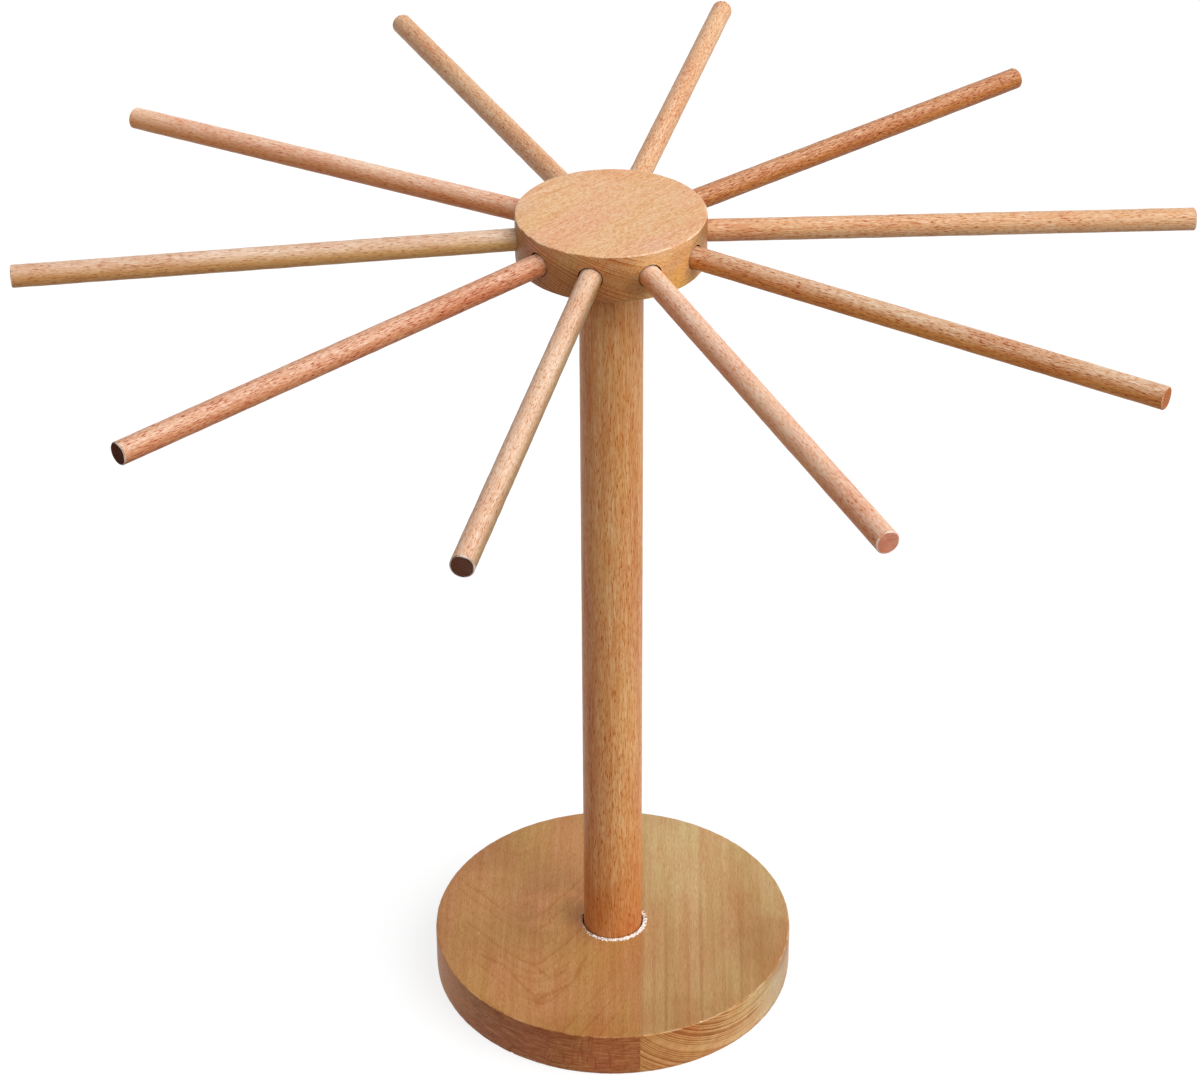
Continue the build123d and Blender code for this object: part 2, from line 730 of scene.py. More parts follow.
        # Relief and gloss.
        dents = graph.sum("SUBTRACT", graph.sum("MULTIPLY", threads, 0.7), graph.sum("MULTIPLY", ray, 0.6))
        dents = graph.sum("MULTIPLY_ADD", dark, -0.5, dents)
        bump = graph.add("Bump", {"Strength": 0.7, "Distance": 0.08 * MM, "Height": dents}).outputs[0]
        rough = graph.sum("MULTIPLY_ADD", threads, 0.2, self.gloss - 0.1)
        graph.end(graph.add("BsdfPrincipled", {
            "Base Color": colour, "Roughness": rough, "Specular IOR Level": self.sheen, "Normal": bump,
        }))
        return material

    def growth(self, graph: Graph, rings: Socket, taper: float, end: Socket) -> Socket:
        """Lay the growth lines round the pith.

        Args:
            graph: The material's nodes.
            rings: Place in the stem, in millimetres.
            taper: How fast the stem grows thinner.
            end: Share of end grain, on which every line shows.

        Returns:
            The socket of how much of a growth line is at each place.
        """
        stray = graph.scaled(graph.stray(rings, 1 / 24, 2.5, 0.16), 2 * self.wander)
        width, along = graph.polar(graph.vector("ADD", rings, stray))
        away = graph.sum("MULTIPLY_ADD", along, taper, width)
        feeds = {"W": away, "Scale": 0.4 / self.ring, "Detail": 1}
        pace = graph.sum("MULTIPLY", graph.add("TexNoise", feeds, noise_dimensions="1D").outputs[0], 2.4)
        age = graph.sum("ADD", graph.sum("DIVIDE", away, self.ring), pace)
        season = graph.add("ValToRGB", {0: graph.sum("FRACT", age)})
        thin = self.ring_line
        levels = (
            (0.0, 0.2), (0.3 * thin, 0.0), (1 - 2.4 * thin, 0.03), (1 - thin, 0.45), (1 - 0.45 * thin, 1.0),
            (1 - 0.15 * thin, 0.9),
        )
        ramp = season.color_ramp
        while len(ramp.elements) < len(levels):
            ramp.elements.new(0.5)
        for element, (at, level) in zip(ramp.elements, levels):
            element.position = at
            element.color = (level, level, level, 1)
        year = graph.add("TexWhiteNoise", {"W": graph.sum("FLOOR", age)}, noise_dimensions="1D")
        picked = graph.sum("POWER", year.outputs["Value"], 4 * self.ring_pick)
        picked = graph.sum("MAXIMUM", picked, graph.sum("MULTIPLY", end, 0.75))
        line = graph.sum("MULTIPLY", season.outputs[0], picked)
        whole = graph.step(graph.noise(rings, 1 / 14, 2, drawn=0.25)[0], 0.34, 0.6, 0.35, 1.1)
        line = graph.sum("MULTIPLY", line, graph.sum("MAXIMUM", whole, graph.sum("MULTIPLY", end, 0.8)))
        if self.ring_fade:
            line = graph.sum("MULTIPLY", line, graph.step(width, 0.5 * self.ring_fade, self.ring_fade, 1, 0))
        return line

    def rays(self, graph: Graph, place: Socket, away: float) -> Socket:
        """Scatter the wood's rays, thin sheets that point at the stem's heart.

        Args:
            graph: The material's nodes.
            place: Place in the stem, in millimetres.
            away: Rough distance of the piece from the heart, in millimetres.

        Returns:
            The socket of how much of a ray is at each place.
        """
        parts = graph.add("SeparateXYZ", {0: place}).outputs
        bearing = graph.sum("ARCTAN2", parts[1], parts[0])
        radius, along = graph.polar(place)
        width, depth, height = self.fleck_size
        cell = graph.add("CombineXYZ", {
            0: graph.sum("MULTIPLY", bearing, away / width),
            1: graph.sum("DIVIDE", radius, depth),
            2: graph.sum("DIVIDE", along, height),
        }).outputs[0]
        bent = graph.vector("ADD", cell, graph.scaled(graph.noise(cell, 0.6, 1)[1], 0.7))
        cells = graph.add("TexVoronoi", {"Vector": bent, "Scale": 1.0}).outputs
        size = graph.add("SeparateColor", {0: cells["Color"]}).outputs[0]
        spot = graph.step(cells["Distance"], 0.1, 0.36, 1, 0)
        return graph.sum("MULTIPLY", spot, graph.step(size, 0.1, 0.8))


RAW_BEECH = Beech(
    body=srgb(240, 214, 182), blush=srgb(248, 226, 200), end=(0.9, 0.86, 0.82), ring=1.1, fleck_show=0.3,
    sheen=0.1,
)
# Painted shade: the inside of the arms' holes and the post's socket, coloured dark red-brown for the shade in
# them.
HOLE_SHADE_BEECH = Beech(
    body=srgb(98, 32, 12), blush=srgb(84, 25, 9), end=(0.9, 0.86, 0.82), ring=1.1, gloss=0.9, sheen=0.0,
)


@dataclass
class Base:
    """The round base: two boards glued edge to edge, with a socket for the post.

    Attributes:
        round: Rounding of the rim's two edges.
        clearance: Room in the socket all round the post.
        chamfer: Width of the socket's broken edge.
        mouth: Depth of it.
        steps: Facets round the rim.
        wear: How the rim is worn.
        left_chip: Where the left board's rim was knocked.
        right_chip: Where the right board's rim was knocked.
        burr_width: Width of the torn fibres round the socket's mouth.
        burr_height: The most that they stand up.
        burr_steps: Facets round them.
        burr_side: Bearing in degrees of the side where they are highest.
        burr_wear: How they are torn.
        flame: Strokes of the dark growth line on the left board's top, in millimetres: middle in X and Y,
            reach along the stroke, and its turn in degrees.
        veins: Dark growth lines on the right board's top: place from left to right in millimetres, and
            paleness.
    """

    round: float = 0.8 * MM
    clearance: float = 0.5 * MM
    chamfer: float = 0.6 * MM
    mouth: float = 1.8 * MM
    steps: int = 640
    wear: Wear = Wear(0.28 * MM, 3.5 * MM)
    left_chip: Chip = Chip(-123.3, (1.3, 0.9, 1.1), 5, top=False)
    right_chip: Chip = Chip(-60.1, (1.5, 0.6, 0.45), 3)
    burr_width: float = 2.5 * MM
    burr_height: float = 0.9 * MM
    burr_steps: int = 480
    burr_side: float = -62
    burr_wear: Wear = Wear(3.0 * MM, 0.7 * MM, down=True)
    flame: tuple[tuple[float, float, float, float], ...] = (
        (-58.5, -30.5, 13, -36), (-43, -48, 19, -56), (-27, -54, 14, 37), (-15, -36, 17, 71),
        (-33, -40, 10, -48), (-24, -40, 9, 46),
    )
    veins: tuple[tuple[float, float], ...] = (
        (14.6, 0.9), (20.1, 0.89), (25.8, 0.84), (30.0, 0.94), (36.3, 0.91), (42.6, 0.85), (48.4, 0.9),
        (53.4, 0.9), (61.8, 0.88),
    )

    def __post_init__(self) -> None:
        """Read the base's sizes from the frame."""
        left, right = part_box("base_board_left"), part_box("base_board_right")
        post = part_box("post")
        self.radius = right[1].x
        self.top = left[1].z
        self.seam = left[1].x
        self.floor = post[0].z
        self.socket = post[1].x + self.clearance
        self.disc = Disc(self.radius, 0, self.top, self.round)

    def outline(self) -> Outline:
        """Draw half the section of the whole disc.

        Returns:
            The section, from the socket's floor up and round to the underside.
        """
        bend, rim = self.radius - self.round, self.round
        line = Outline().to(0, self.floor).to(self.socket, self.floor, 4)
        line.to(self.socket, self.top - self.mouth, 4).to(self.socket + self.chamfer, self.top)
        line.to(self.socket + 2 * self.chamfer, self.top)
        line.to(bend - rim, self.top, 6).to(bend, self.top)
        line.bend((bend, self.top - rim), rim, 90, 0, 6)
        line.to(self.radius, rim, 12)
        line.bend((bend, rim), rim, 0, -90, 6)
        return line.to(bend - rim, 0).to(0, 0, 5)

    def finishes(self) -> tuple[Finish, Finish]:
        """Make the finishes of the two boards.

        Returns:
            The finish of the left board and that of the right one.
        """
        rims = (Rim(self.radius, self.top, 0.9 * MM), Rim(self.radius, 0, 0.6 * MM))
        flame = tuple(
            ToneAndLightPatch((x * MM, y * MM, self.top), (half * MM, 1.5 * MM, 2.5 * MM), (0.86, 0.76, 0.66), turn)
            for x, y, half, turn in self.flame
        )
        left = Beech(
            body=srgb(179, 131, 74), blush=srgb(180, 122, 76), end=(0.9, 0.64, 0.56),
            ring=5.2, ring_line=0.2, ring_show=0.2, ring_end=0.12, ring_pick=0.4, ring_fade=46, wander=3.8,
            fleck_show=0.12, fleck_end=0.55, fleck_size=(0.7, 12.0, 2.6), dash_show=0.14,
            dash_size=(0.45, 2.2), fibre_show=0.25, band_show=0.24, marks_show=1.05, blush_show=0.95,
            tone_and_light_patches=flame + (
                ToneAndLightPatch((-0.034, -0.060, self.top), (0.006, 0.008, 0.006), (0.86, 0.74, 0.62)),
                # Painted light: two paler patches left of the post, lifting its cast shadow on the top.
                ToneAndLightPatch((-0.022, 0.006, self.top), (0.026, 0.026, 0.006), (1.5, 1.5, 1.7), -12),
                ToneAndLightPatch((-0.056, 0.016, self.top), (0.046, 0.036, 0.006), (1.22, 1.27, 1.42), -12),
                # Painted light: the back of the top is made paler, as if more brightly lit.
                ToneAndLightPatch((-0.02, 0.062, self.top), (0.05, 0.045, 0.02), (1.08, 1.16, 1.2)),
                ToneAndLightPatch((-0.01, -0.084, self.top), (0.05, 0.024, 0.006), (0.85, 0.79, 0.67)),
                ToneAndLightPatch((-0.078, -0.03, self.top / 2), (0.03, 0.045, 0.03), (1.24, 0.92, 0.5), aside=True),
                ToneAndLightPatch((-0.05, -0.07, self.top), (0.06, 0.05, 0.012), (0.85, 0.81, 0.66), aside=True),
                ToneAndLightPatch((-0.005, -0.086, self.top / 2), (0.03, 0.02, 0.02), (1.06, 0.97, 0.9)),
            ),
        ).material(
            "left_board_beech",
            Stem(
                pith=(-0.0405, 0, 0.017), grain=(0, 1, 0), away=0.07, taper=-0.7, turn=7,
                heart=(-0.01, 0, 0.09),
            ),
            Lathe(rims, srgb(206, 150, 100)),
        )
        veins = tuple(
            ToneAndLightPatch((x * MM, -0.05, self.top), (1.5 * MM, 0.12, 2.5 * MM), (pale, pale ** 1.6, pale ** 2.3))
            for x, pale in self.veins
        )
        right = Beech(
            body=srgb(184, 149, 100), blush=srgb(181, 133, 87), end=(1.46, 1.24, 1.06),
            ring=1.85, ring_line=0.32, ring_show=0.16, ring_end=1.25, ring_pick=0.6, wander=0.9,
            fleck_show=0.08, fleck_end=0.1, fleck_size=(0.6, 12.0, 2.4), dash_show=0.12, dash_size=(0.5, 3.0),
            fibre_show=0.3, band_show=0.28, blush_show=0.9,
            tone_and_light_patches=veins + (
                ToneAndLightPatch((0.035, -0.078, self.top), (0.06, 0.036, 0.006), (0.88, 0.81, 0.7)),
                # Painted light: the back of the top is made paler, as if more brightly lit.
                ToneAndLightPatch((0.036, 0.058, self.top), (0.07, 0.07, 0.03), (1.22, 1.4, 1.52)),
                ToneAndLightPatch((0.079, -0.03, self.top), (0.03, 0.056, 0.01), (0.82, 0.67, 0.57)),
                ToneAndLightPatch(
                    (0.072, -0.05, 0.6 * self.top), (0.05, 0.05, 1.1 * self.top), (1.14, 1.54, 2.1),
                    aside=True,
                ),
            ),
        ).material(
            "right_board_beech", Stem(pith=(0.064, 0, 0.068), grain=(0, 1, 0), away=0.06),
            Lathe(rims, srgb(212, 176, 134)),
        )
        return left, right

    def build(self) -> list[Piece]:
        """Turn the disc, part it at the seam, chip it and dress it.

        Returns:
            The pieces of the base.
        """
        left_finish, right_finish = self.finishes()
        stem = Stem(pith=(0.06, 0, 0.07), grain=(0, 1, 0))
        raw = RAW_BEECH.material("raw_base_beech", stem)
        left = Bench.turn("board_left", self.outline(), self.steps)
        left.data.materials.append(left_finish)
        left.data.materials.append(HOLE_SHADE_BEECH.material("socket_shade_beech", stem))
        # The socket's wall and floor take the painted shade of the holes.
        for face in left.data.polygons:
            inside = math.hypot(face.center.x, face.center.y) < self.socket + self.chamfer
            face.material_index = int(inside and face.center.z > self.floor - MM)
        Bench.wear(left, self.wear, self.disc.worn)
        right = Bench.copy(left, "board_right")
        right.data.materials[0] = right_finish
        Bench.part(left, (self.seam, 0, 0), (-1, 0, 0))
        Bench.part(right, (self.seam, 0, 0), (1, 0, 0))
        Bench.chip(right, self.disc, self.right_chip, raw)
        Bench.chip(left, self.disc, self.left_chip, raw)
        burr = self.burr()
        for piece, node, slot in ((left, "base_board_left", Slot.LEFT_BOARD),
                                  (right, "base_board_right", Slot.RIGHT_BOARD)):
            Bench.smooth(piece)
            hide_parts(node)
        pieces = [left, right, burr]
        for piece in pieces:
            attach(piece, "base")
        return pieces

    def burr(self) -> Piece:
        """Make the ragged pale ring of torn fibres round the socket's mouth, highest at the front.

        Returns:
            The ring.
        """
        inner, width, height = self.socket + 0.15 * MM, self.burr_width, self.burr_height
        foot = self.top - 2.4 * MM
        line = Outline().to(inner, foot).to(inner, self.top + 0.6 * height, 4)
        line.to(inner + 0.2 * width, self.top + height, 3).to(inner + 0.6 * width, self.top + 0.9 * height, 5)
        line.to(inner + width, self.top + 0.5 * height, 5).to(inner + width, foot).to(inner, foot, 4)
        ring = Bench.turn("socket_burr", line, self.burr_steps)

        def sunk(point: Vector) -> float:
            """Share of its height that the burr may lose at a point: the least at the front right."""
            bearing = math.atan2(point.y, point.x) - math.radians(self.burr_side)
            return 0.69 - 0.31 * math.cos(bearing) if point.z > self.top - 0.3 * MM else 0

        Bench.wear(ring, self.burr_wear, sunk)
        Bench.smooth(ring, 50)
        finish = Beech(
            body=srgb(238, 231, 222), blush=srgb(250, 249, 247), end=(1, 0.99, 0.98), ring=0.8,
            fleck_show=1.0, fleck_end=1.0, fleck_size=(0.7, 4.0, 1.4), dash_show=1.4, dash_size=(0.5, 1.2),
            sheen=0.5,
        )
        stem = Stem(pith=(0.05, 0, 0.05), grain=(0, 1, 0))
        ring.data.materials.append(finish.material("torn_fibres", stem))
        return ring


@dataclass
class Post:
    """The round post that stands in the base and carries the hub.

    Attributes:
        chamfer: Broken edge at each end.
        steps: Facets round it.
        rings: Stretches along it.
        held: Length of each end, which isn't worn.
        wear: How the rest is worn.
    """

    chamfer: float = 1.0 * MM
    steps: int = 96
    rings: int = 150
    held: float = 20 * MM
    wear: Wear = Wear(0.12 * MM, 14 * MM)

    def build(self) -> list[Piece]:
        """Turn the post and dress it.

        Returns:
            The post, as a list of one.
        """
        low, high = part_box("post")
        radius = high.x
        line = Outline().to(0, low.z).to(radius - self.chamfer, low.z, 3).to(radius, low.z + self.chamfer)
        line.to(radius, high.z - self.chamfer, self.rings).to(radius - self.chamfer, high.z).to(0, high.z, 3)
        rod = Bench.turn("post_rod", line, self.steps)
        Bench.wear(rod, self.wear, lambda p: float(low.z + self.held < p.z < high.z - self.held))
        Bench.smooth(rod)
        finish = Beech(
            body=srgb(222, 162, 102), blush=srgb(212, 144, 88), end=(0.6, 0.5, 0.45), ring=2.6,
            ring_show=0.12, wander=2.0, fleck_show=0.28, fleck_size=(0.45, 24.0, 3.2),
            dash_show=0.9, dash_pale=0.15, dash_rare=0.03, dash_size=(0.32, 3.2),
            fibre_show=0.6, fibre_size=0.9, band_show=0.36, blush_show=0.85,
            tone_and_light_patches=(
                # Painted shadow of the hub on the front of the post, just below it.
                ToneAndLightPatch((-0.004, -0.0125, 0.386), (0.012, 0.012, 0.04), (0.62, 0.5, 0.34)),
                # Painted shade down the left front of the post.
                ToneAndLightPatch((-0.0106, -0.0092, 0.2), (0.0085, 0.0085, 0.3), (0.82, 0.67, 0.6)),
                # Painted light: a paler band down the front of the post.
                ToneAndLightPatch((0.0036, -0.0135, 0.2), (0.0095, 0.0095, 0.3), (1.09, 1.19, 1.24)),
                ToneAndLightPatch((0, 0, 0.03), (0.05, 0.05, 0.07), (0.79, 0.6, 0.45)),
                ToneAndLightPatch((0, 0, 0.2), (0.05, 0.05, 0.06), (0.98, 0.96, 1.0)),
            ),
        )
        stem = Stem(pith=(-0.012, 0.046, 0.2), grain=(0, 0, 1), away=0.06)
        rod.data.materials.append(finish.material("post_beech", stem))
        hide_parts("post")
        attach(rod, "post")
        return [rod]


@dataclass(frozen=True)
class ArmWood:
    """How the beech of one arm looks.

    Attributes:
        body: Its colour.
        blush: Colour of its cloudy patches.
        end: Tint of its end grain; for PALE and STREAKY it also holds painted shade on outer ends that face
            away from the light.
        underside_shade: Painted shade on its underside, as a tint.
        streaks: How strongly its dark streaks show.
        rim: Colour of its worn rims.
    """

    body: Colour
    blush: Colour
    end: Colour
    underside_shade: Colour
    streaks: float
    rim: Colour = srgb(244, 228, 214)


class ArmTone(Enum):
    """The kinds of beech among the arms."""

    # PALE and STREAKY end tints hold painted shade besides the end grain's own darkening.
    PALE = ArmWood(srgb(228, 192, 163), srgb(217, 169, 137), (0.2, 0.13, 0.12), (0.38, 0.3, 0.1), 0.5)
    ROSY = ArmWood(srgb(238, 200, 171), srgb(228, 173, 143), (0.82, 0.56, 0.52), (0.86, 0.54, 0.28), 0.6)
    FLAMED = ArmWood(srgb(224, 188, 154), srgb(208, 154, 116), (0.8, 0.5, 0.34), (0.92, 0.55, 0.19), 0.9,
                     srgb(226, 176, 136))
    CREAMY = ArmWood(srgb(228, 201, 176), srgb(214, 173, 144), (0.8, 0.5, 0.34), (0.85, 0.62, 0.3), 0.6)
    AMBER = ArmWood(srgb(196, 139, 98), srgb(179, 113, 74), (0.8, 0.5, 0.36), (0.86, 0.62, 0.25), 0.75)
    TAN = ArmWood(srgb(224, 178, 136), srgb(214, 156, 114), (0.5, 0.36, 0.3), (1.0, 0.96, 0.86), 0.65)
    STREAKY = ArmWood(srgb(216, 168, 138), srgb(200, 138, 103), (0.18, 0.12, 0.12), (0.9, 0.65, 0.46), 0.95)


@dataclass
class Arms:
    """The ten straight arms, each tipped a little down in its hole.

    Attributes:
        radius: Radius of an arm.
        length: Length of an arm.
        hole_depth: Depth of its hole in the hub.
        end_gap: Room between the arm's inner end and the bottom of the hole.
        clearance: Least room round the arm in its hole.
        chamfer: Broken edge at each end.
        steps: Facets round an arm.
        rings: Stretches along it.
        wear: How each arm is worn.
        heart: Distance of each arm's middle from its tree's pith.
        twist: Turn in degrees of the wood from one arm to the next.
        tones: Beech of each arm, from the front one round to the right.
    """

    radius: float = 5 * MM
    length: float = 232 * MM
    hole_depth: float = 20 * MM
    end_gap: float = 0.3 * MM
    clearance: float = 0.07 * MM
    chamfer: float = 0.4 * MM
    steps: int = 48
    rings: int = 110
    wear: Wear = Wear(0.22 * MM, 7 * MM)
    heart: float = 38 * MM
    twist: float = 137.5
    tones: tuple[ArmTone, ...] = (
        ArmTone.PALE, ArmTone.ROSY, ArmTone.FLAMED, ArmTone.TAN, ArmTone.AMBER,
        ArmTone.TAN, ArmTone.TAN, ArmTone.ROSY, ArmTone.CREAMY, ArmTone.STREAKY,
    )

    def __post_init__(self) -> None:
        """Read the arms' directions and the middle of the hub from the frame."""
        low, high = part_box("hub")
        self.axes = {j["child"]: Vector(j["axis"]) for j in frame["joints"] if j["parent"] == "hub"}
        self.height = (low.z + high.z) / 2
        self.droop = math.asin(-next(iter(self.axes.values())).z)
        self.pivot = high.x - self.hole_depth / 2
        self.sway = self.hole_depth / 2 * math.tan(self.droop)
        self.hole_radius = self.radius / math.cos(self.droop) + self.sway + self.clearance
        held = self.hole_depth / 2 - self.end_gap - self.radius * math.sin(self.droop)
        self.reach = held / math.cos(self.droop)

    def level(self, axis: Vector) -> Vector:
        """An arm's direction seen from above."""
        return Vector((axis.x, axis.y, 0)).normalized()

    def start(self, axis: Vector) -> Vector:
        """Middle of an arm's inner end."""
        return Vector((0, 0, self.height)) + self.level(axis) * self.pivot - axis * self.reach

    def place(self, axis: Vector) -> Matrix:
        """Where an arm goes that was made on the Z axis, inner end down."""
        return Matrix.Translation(self.start(axis)) @ turn_to(axis).to_matrix().to_4x4()

    def finishes(self, number: int, axis: Vector) -> tuple[Finish, Finish]:
        """The beech of one arm.

        Args:
            number: Number of the arm, from 1.
            axis: Direction of the arm.

        Returns:
            The finish of its round side and that of its dry parts: the ends and what the hub hides.
        """
        wood = self.tones[number - 1].value
        turn = math.radians(number * self.twist)
        side = axis.cross(Vector((0, 0, 1))).normalized()
        pith = self.start(axis) + (side * math.cos(turn) + side.cross(axis) * math.sin(turn)) * self.heart
        rims = tuple(Rim(self.radius - self.chamfer / 2, height, 1.0 * MM) for height in (0, self.length))
        lathe = Lathe(rims, wood.rim, tuple(self.start(axis)), tuple(axis))
        stem = Stem(tuple(pith), tuple(axis), self.heart)
        oiled = Beech(
            body=wood.body, blush=wood.blush, end=wood.end, underside_shade=wood.underside_shade, ring=2.2, ring_show=0.16,
            wander=2.5, fleck_show=0.6 * wood.streaks, fleck_size=(0.5, 18.0, 3.0),
            dash_show=0.5 + 1.35 * wood.streaks, dash_pale=0.2, dash_rare=0.035, dash_size=(0.34, 2.2),
            fibre_show=0.68, fibre_size=0.6, band_show=0.36, blush_show=0.85,
        )
        dry = replace(oiled, sheen=0.0, gloss=0.8, underside_shade=(1, 1, 1))
        name = f"{number:02d}"
        return oiled.material(f"arm_beech_{name}", stem, lathe), dry.material(f"arm_end_{name}", stem, lathe)

    def build(self) -> list[Piece]:
        """Turn one arm, copy it to its ten holes and dress each copy.

        Returns:
            The ten arms.
        """
        inner = self.radius - self.chamfer
        line = Outline().to(0, 0).to(inner, 0, 3).to(self.radius, self.chamfer)
        line.to(self.radius, self.length - self.chamfer, self.rings)
        line.to(inner, self.length).to(0, self.length, 3)
        master = Bench.turn("arm_master", line, self.steps)
        pieces = []
        for number, (node, axis) in enumerate(sorted(self.axes.items()), start=1):
            arm = Bench.copy(master, f"arm_rod_{number:02d}", self.place(axis))
            Bench.wear(arm, self.wear, lambda p: 1.0)
            Bench.smooth(arm)
            for finish in self.finishes(number, axis):
                arm.data.materials.append(finish)
            for face in arm.data.polygons:
                hidden = (face.center - self.start(axis)).dot(axis) < self.hole_depth - 1 * MM
                face.material_index = int(hidden or face.normal.dot(axis) > 0.95)
            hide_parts(node)
            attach(arm, node)
            pieces.append(arm)
        Bench.discard(master)
        return pieces


@dataclass
class Hub:
    """The hub: a thick disc that turns on the post, with a hole in its rim for each arm.

    Attributes:
        arms: The arms that it holds.
        round: Rounding of its two edges.
        clearance: Room in the bore all round the post.
        chamfer: Broken edge of the bore's mouth.
        steps: Facets round it.
        hole_steps: Facets round an arm's hole.
        wear: How the rim is worn.
        chips: Where the rim was knocked.
    """

    arms: Arms
    round: float = 0.7 * MM
    clearance: float = 0.08 * MM
    chamfer: float = 0.8 * MM
    steps: int = 400
    hole_steps: int = 64
    wear: Wear = Wear(0.2 * MM, 3 * MM)
    chips: tuple[Chip, ...] = (Chip(-78.1, (1.3, 0.6, 0.5), 2), Chip(-26.6, (0.7, 1.1, 0.5), 4))

    def __post_init__(self) -> None:
        """Read the hub's sizes from the frame."""
        low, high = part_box("hub")
        self.radius, self.low, self.high = high.x, low.z, high.z
        self.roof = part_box("post")[1].z
        self.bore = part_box("post")[1].x + self.clearance
        self.disc = Disc(self.radius, self.low, self.high, self.round)

    def outline(self) -> Outline:
        """Draw half the section of the hub.

        Returns:
            The section, from the bore's roof down and round to the top.
        """
        bend, rim = self.radius - self.round, self.round
        line = Outline().to(0, self.roof).to(self.bore, self.roof, 3)
        line.to(self.bore, self.low + self.chamfer, 4)
        line.to(self.bore + self.chamfer, self.low).to(bend - rim, self.low, 4).to(bend, self.low)
        line.bend((bend, self.low + rim), rim, -90, 0, 6)
        line.to(self.radius, self.high - rim, 14)
        line.bend((bend, self.high - rim), rim, 0, 90, 6)
        return line.to(bend - rim, self.high).to(0, self.high, 5)

    def finish(self) -> Beech:
        """Choose the hub's beech.

        Returns:
            Its finish, with patches of tone and of painted light and shade for the top and the sides.
        """
        return Beech(
            body=srgb(226, 181, 134), blush=srgb(227, 174, 138), end=(0.64, 0.56, 0.49),
            underside_shade=(0.97, 0.9, 0.68), ring=1.3, ring_line=0.3, ring_show=0.14, ring_end=1.65, ring_pick=0.05,
            wander=0.9, fleck_show=0.4, fleck_end=0.9, fleck_size=(0.6, 14.0, 1.6),
            dash_show=0.46, dash_size=(0.46, 1.4), fibre_show=0.4, band_show=0.24, blush_show=0.9,
            tone_and_light_patches=(
                ToneAndLightPatch((-0.037, 0.004, self.high), (0.012, 0.012, 0.004), (1.0, 1.04, 1.22)),
                ToneAndLightPatch((0.006, 0.036, self.high), (0.026, 0.012, 0.004), (0.99, 0.9, 0.8)),
                ToneAndLightPatch((0.033, 0.03, self.high), (0.014, 0.014, 0.004), (1.0, 0.92, 0.94)),
                ToneAndLightPatch((0.02, -0.033, self.high), (0.014, 0.012, 0.004), (1.0, 1.04, 1.16)),
                ToneAndLightPatch((-0.0285, 0.019, self.high), (0.03, 0.0024, 0.004), (1.06, 1.14, 1.24), 45),
                ToneAndLightPatch((-0.0262, 0.0167, self.high), (0.03, 0.001, 0.004), (0.92, 0.84, 0.78), 45),
                # Painted warm bounce light on the front right of the hub's side and underside.
                ToneAndLightPatch((0.03, -0.03, self.low), (0.022, 0.022, 0.02), (1.14, 1.05, 0.64)),
                # Painted light: the upper part of the hub's front and left side is made paler, as lit from
                # above.
                ToneAndLightPatch((-0.01, -0.03, self.high), (0.05, 0.034, 0.013), (1.33, 1.6, 2.0), aside=True),
                # Painted shadow of the front right arm on the hub's side.
                ToneAndLightPatch((0.0105, -0.0395, 0.3955), (0.009, 0.01, 0.009), (0.7, 0.62, 0.55), aside=True),
                ToneAndLightPatch((0.039, -0.014, 0.404), (0.012, 0.016, 0.014), (0.58, 0.56, 0.46), aside=True),
            ),
        )

    def build(self) -> list[Piece]:
        """Turn the hub, bore the arms' holes, chip it and dress it.

        Returns:
            The hub, as a list of one.
        """
        across, below = 26 * MM, 106 * MM
        half = math.sqrt(0.5)
        pith = (-across * half, across * half, self.arms.height - below)
        stem = Stem(pith, grain=(half, half, 0), away=0.12, taper=0.03)
        rims = (Rim(self.radius, self.high, 0.8 * MM), Rim(self.radius, self.low, 0.5 * MM))
        lathe = Lathe(rims, srgb(250, 222, 186))
        disc = Bench.turn("hub_disc", self.outline(), self.steps)
        disc.data.materials.append(self.finish().material("hub_beech", stem, lathe))
        Bench.wear(disc, self.wear, self.disc.worn)
        hole_shade_finish = HOLE_SHADE_BEECH.material("hole_shade_beech", stem)
        for axis in self.arms.axes.values():
            self.drill(disc, self.arms.level(axis), hole_shade_finish)
        raw = RAW_BEECH.material("raw_hub_beech", stem)
        for chip in self.chips:
            Bench.chip(disc, self.disc, chip, raw)
        Bench.smooth(disc)
        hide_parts("hub")
        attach(disc, "hub")
        return [disc]

    def drill(self, disc: Piece, outwards: Vector, hole_shade_finish: Finish) -> None:
        """Drill one arm's hole.

        Args:
            disc: The hub.
            outwards: Level direction of the hole.
            hole_shade_finish: Finish of the hole, its wood painted dark with the shade inside it.
        """
        overrun = 1 * MM
        length = self.arms.hole_depth + overrun
        middle = outwards * (self.radius - self.arms.hole_depth + length / 2)
        middle.z = self.arms.height
        Bench.clear()
        bpy.ops.mesh.primitive_cylinder_add(
            vertices=self.hole_steps, radius=self.arms.hole_radius, depth=length, location=middle,
            rotation=turn_to(outwards).to_euler(),
        )
        drill = bpy.context.object
        Bench.settle()
        drill.data.materials.append(hole_shade_finish)
        Bench.cut(disc, drill)


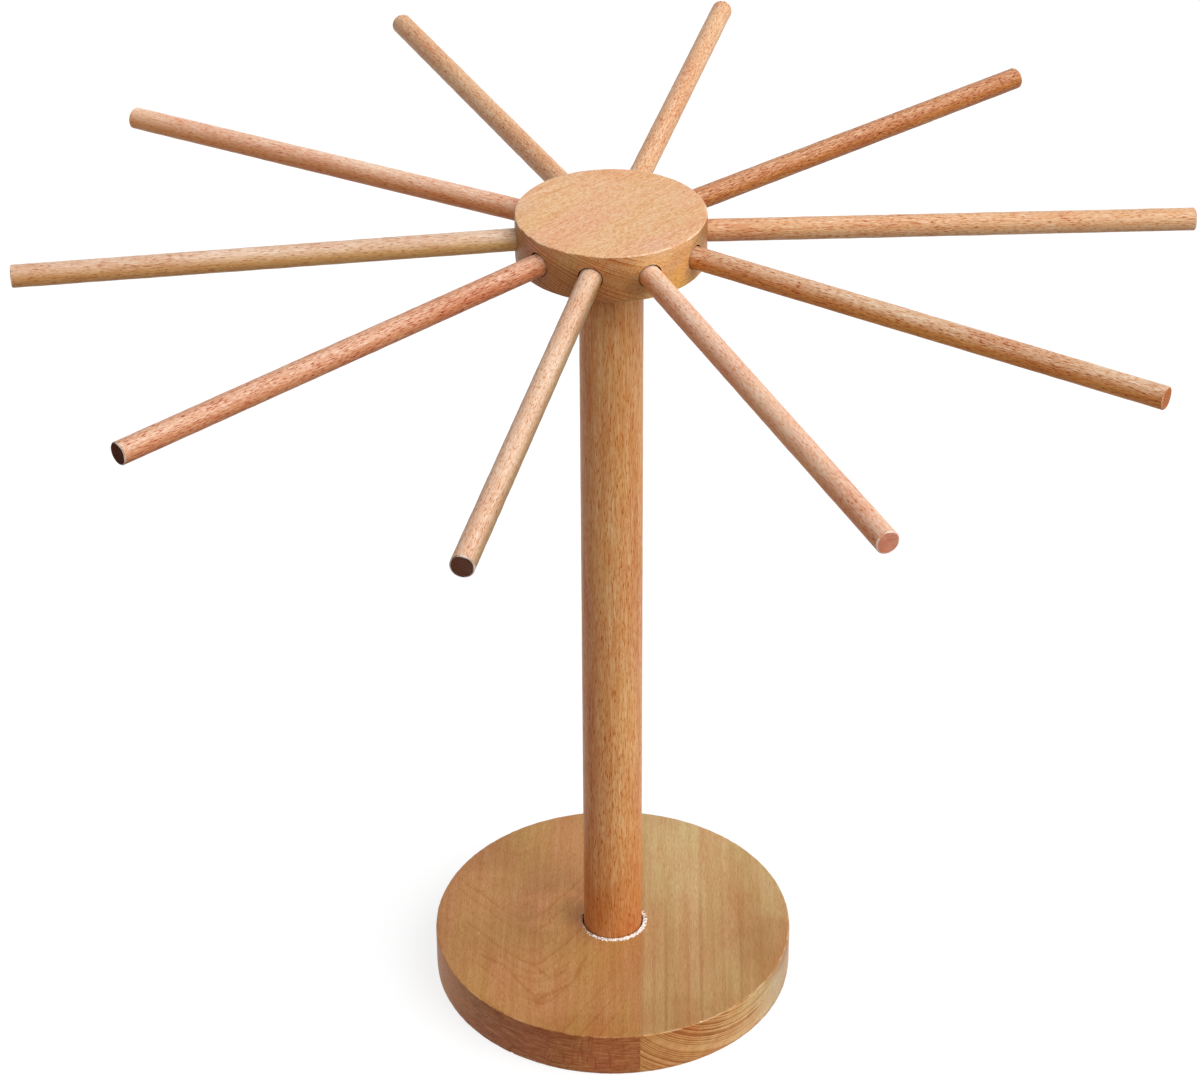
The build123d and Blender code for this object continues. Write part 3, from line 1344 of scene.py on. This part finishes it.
@dataclass(frozen=True)
class Viewpoint:
    """The camera, where the photograph was taken from.

    Attributes:
        place: The lens.
        down: Degrees that it looks down.
        left: Degrees that it looks to the left.
        roll: Degrees that it leans.
        lens: Focal length in millimetres.
        sensor: Width of the picture in the camera, in millimetres.
    """

    place: Point = (0.0156, -1.2434, 1.0477)
    down: float = 32.8835
    left: float = 0.9648
    roll: float = -0.274
    lens: float = 98.587
    sensor: float = 36.0

    def build(self) -> Piece:
        """Set the camera up.

        Returns:
            The camera.
        """
        Bench.clear()
        bpy.ops.object.camera_add(location=self.place)
        camera = bpy.context.object
        camera.name = "camera"
        camera.data.lens = self.lens
        camera.data.sensor_width = self.sensor
        camera.data.sensor_fit = "HORIZONTAL"
        facing = Matrix.Rotation(math.radians(self.left), 3, "Z")
        facing = facing @ Matrix.Rotation(math.radians(90 - self.down), 3, "X")
        facing = facing @ Matrix.Rotation(math.radians(self.roll), 3, "Z")
        camera.rotation_euler = facing.to_euler()
        bpy.context.scene.camera = camera
        return camera


@dataclass(frozen=True)
class Lamp:
    """A large soft lamp, far away.

    Attributes:
        name: Its name.
        bearing: Degrees round from +X, towards the back.
        height: Degrees above the floor.
        spread: Degrees across which it shines.
        strength: How strongly it shines.
    """

    name: str
    bearing: float
    height: float
    spread: float
    strength: float

    def build(self) -> None:
        """Hang the lamp."""
        height, bearing = math.radians(self.height), math.radians(self.bearing)
        level = math.cos(height)
        towards = Vector((math.cos(bearing) * level, math.sin(bearing) * level, math.sin(height)))
        Bench.clear()
        bpy.ops.object.light_add(type="SUN", location=towards * 2, rotation=turn_to(towards).to_euler())
        lamp = bpy.context.object
        lamp.name = self.name
        lamp.data.energy = self.strength
        lamp.data.angle = math.radians(self.spread)


@dataclass(frozen=True)
class Studio:
    """A white floor and plain soft light, strongest from above and the right.

    Attributes:
        ground: Size of the floor.
        sky: Strength of the light from all round.
        lamps: The lamps.
        paper: Brightness of the floor.
        lift: What the floor gives to the eye besides.
    """

    ground: float = 12.0
    sky: float = 0.31
    lamps: tuple[Lamp, ...] = (Lamp("key_lamp", -14, 48, 60, 2.4), Lamp("fill_lamp", -76, 35, 110, 0.9))
    paper: float = 0.26
    lift: float = 0.79

    def build(self) -> None:
        """Lay the floor, light the world and hang the lamps."""
        scene = bpy.context.scene
        scene.view_settings.view_transform = "Standard"
        Bench.clear()
        bpy.ops.mesh.primitive_plane_add(size=self.ground, location=(0, 0, 0))
        floor = bpy.context.object
        floor.name = "floor"
        floor.data.materials.append(self.paper_white())
        self.light_world()
        for lamp in self.lamps:
            lamp.build()

    def seen(self, graph: Graph) -> Socket:
        """Tell the rays that carry the picture: from the camera, a reflection or through glass.

        Args:
            graph: The nodes to add to.

        Returns:
            The socket, 1 for such a ray.
        """
        rays = graph.add("LightPath", {}).outputs
        either = graph.sum("MAXIMUM", rays["Is Camera Ray"], rays["Is Glossy Ray"])
        return graph.sum("MAXIMUM", either, rays["Is Transmission Ray"])

    def paper_white(self) -> Finish:
        """Make the floor's finish: white to the eye, with the object's shadow on it.

        Returns:
            The finish.
        """
        material = bpy.data.materials.new("white_floor")
        graph = Graph(material)
        diffuse = graph.add("BsdfDiffuse", {"Color": (self.paper,) * 3})
        glow = graph.add("Emission", {"Strength": graph.sum("MULTIPLY", self.seen(graph), self.lift)})
        graph.end(graph.add("AddShader", {0: diffuse.outputs[0], 1: glow.outputs[0]}))
        return material

    def light_world(self) -> None:
        """Give the world its even light, white where it is seen."""
        world = bpy.data.worlds.new("white_world")
        bpy.context.scene.world = world
        graph = Graph(world)
        level = graph.sum("MULTIPLY_ADD", self.seen(graph), 1 - self.sky, self.sky)
        graph.end(graph.add("Background", {"Color": (1, 1, 1), "Strength": level}), "OutputWorld")


def main() -> None:
    """Build the rack from the base up, then the studio round it, and report each piece."""
    arms = Arms()
    for part in (Base(), Post(), arms, Hub(arms)):
        for piece in part.build():
            log.info("%s: %d faces", piece.name, len(piece.data.polygons))
    Viewpoint().build()
    Studio().build()


if __name__ == "__main__":
    logging.basicConfig(level=logging.INFO, format="%(message)s")
    main()
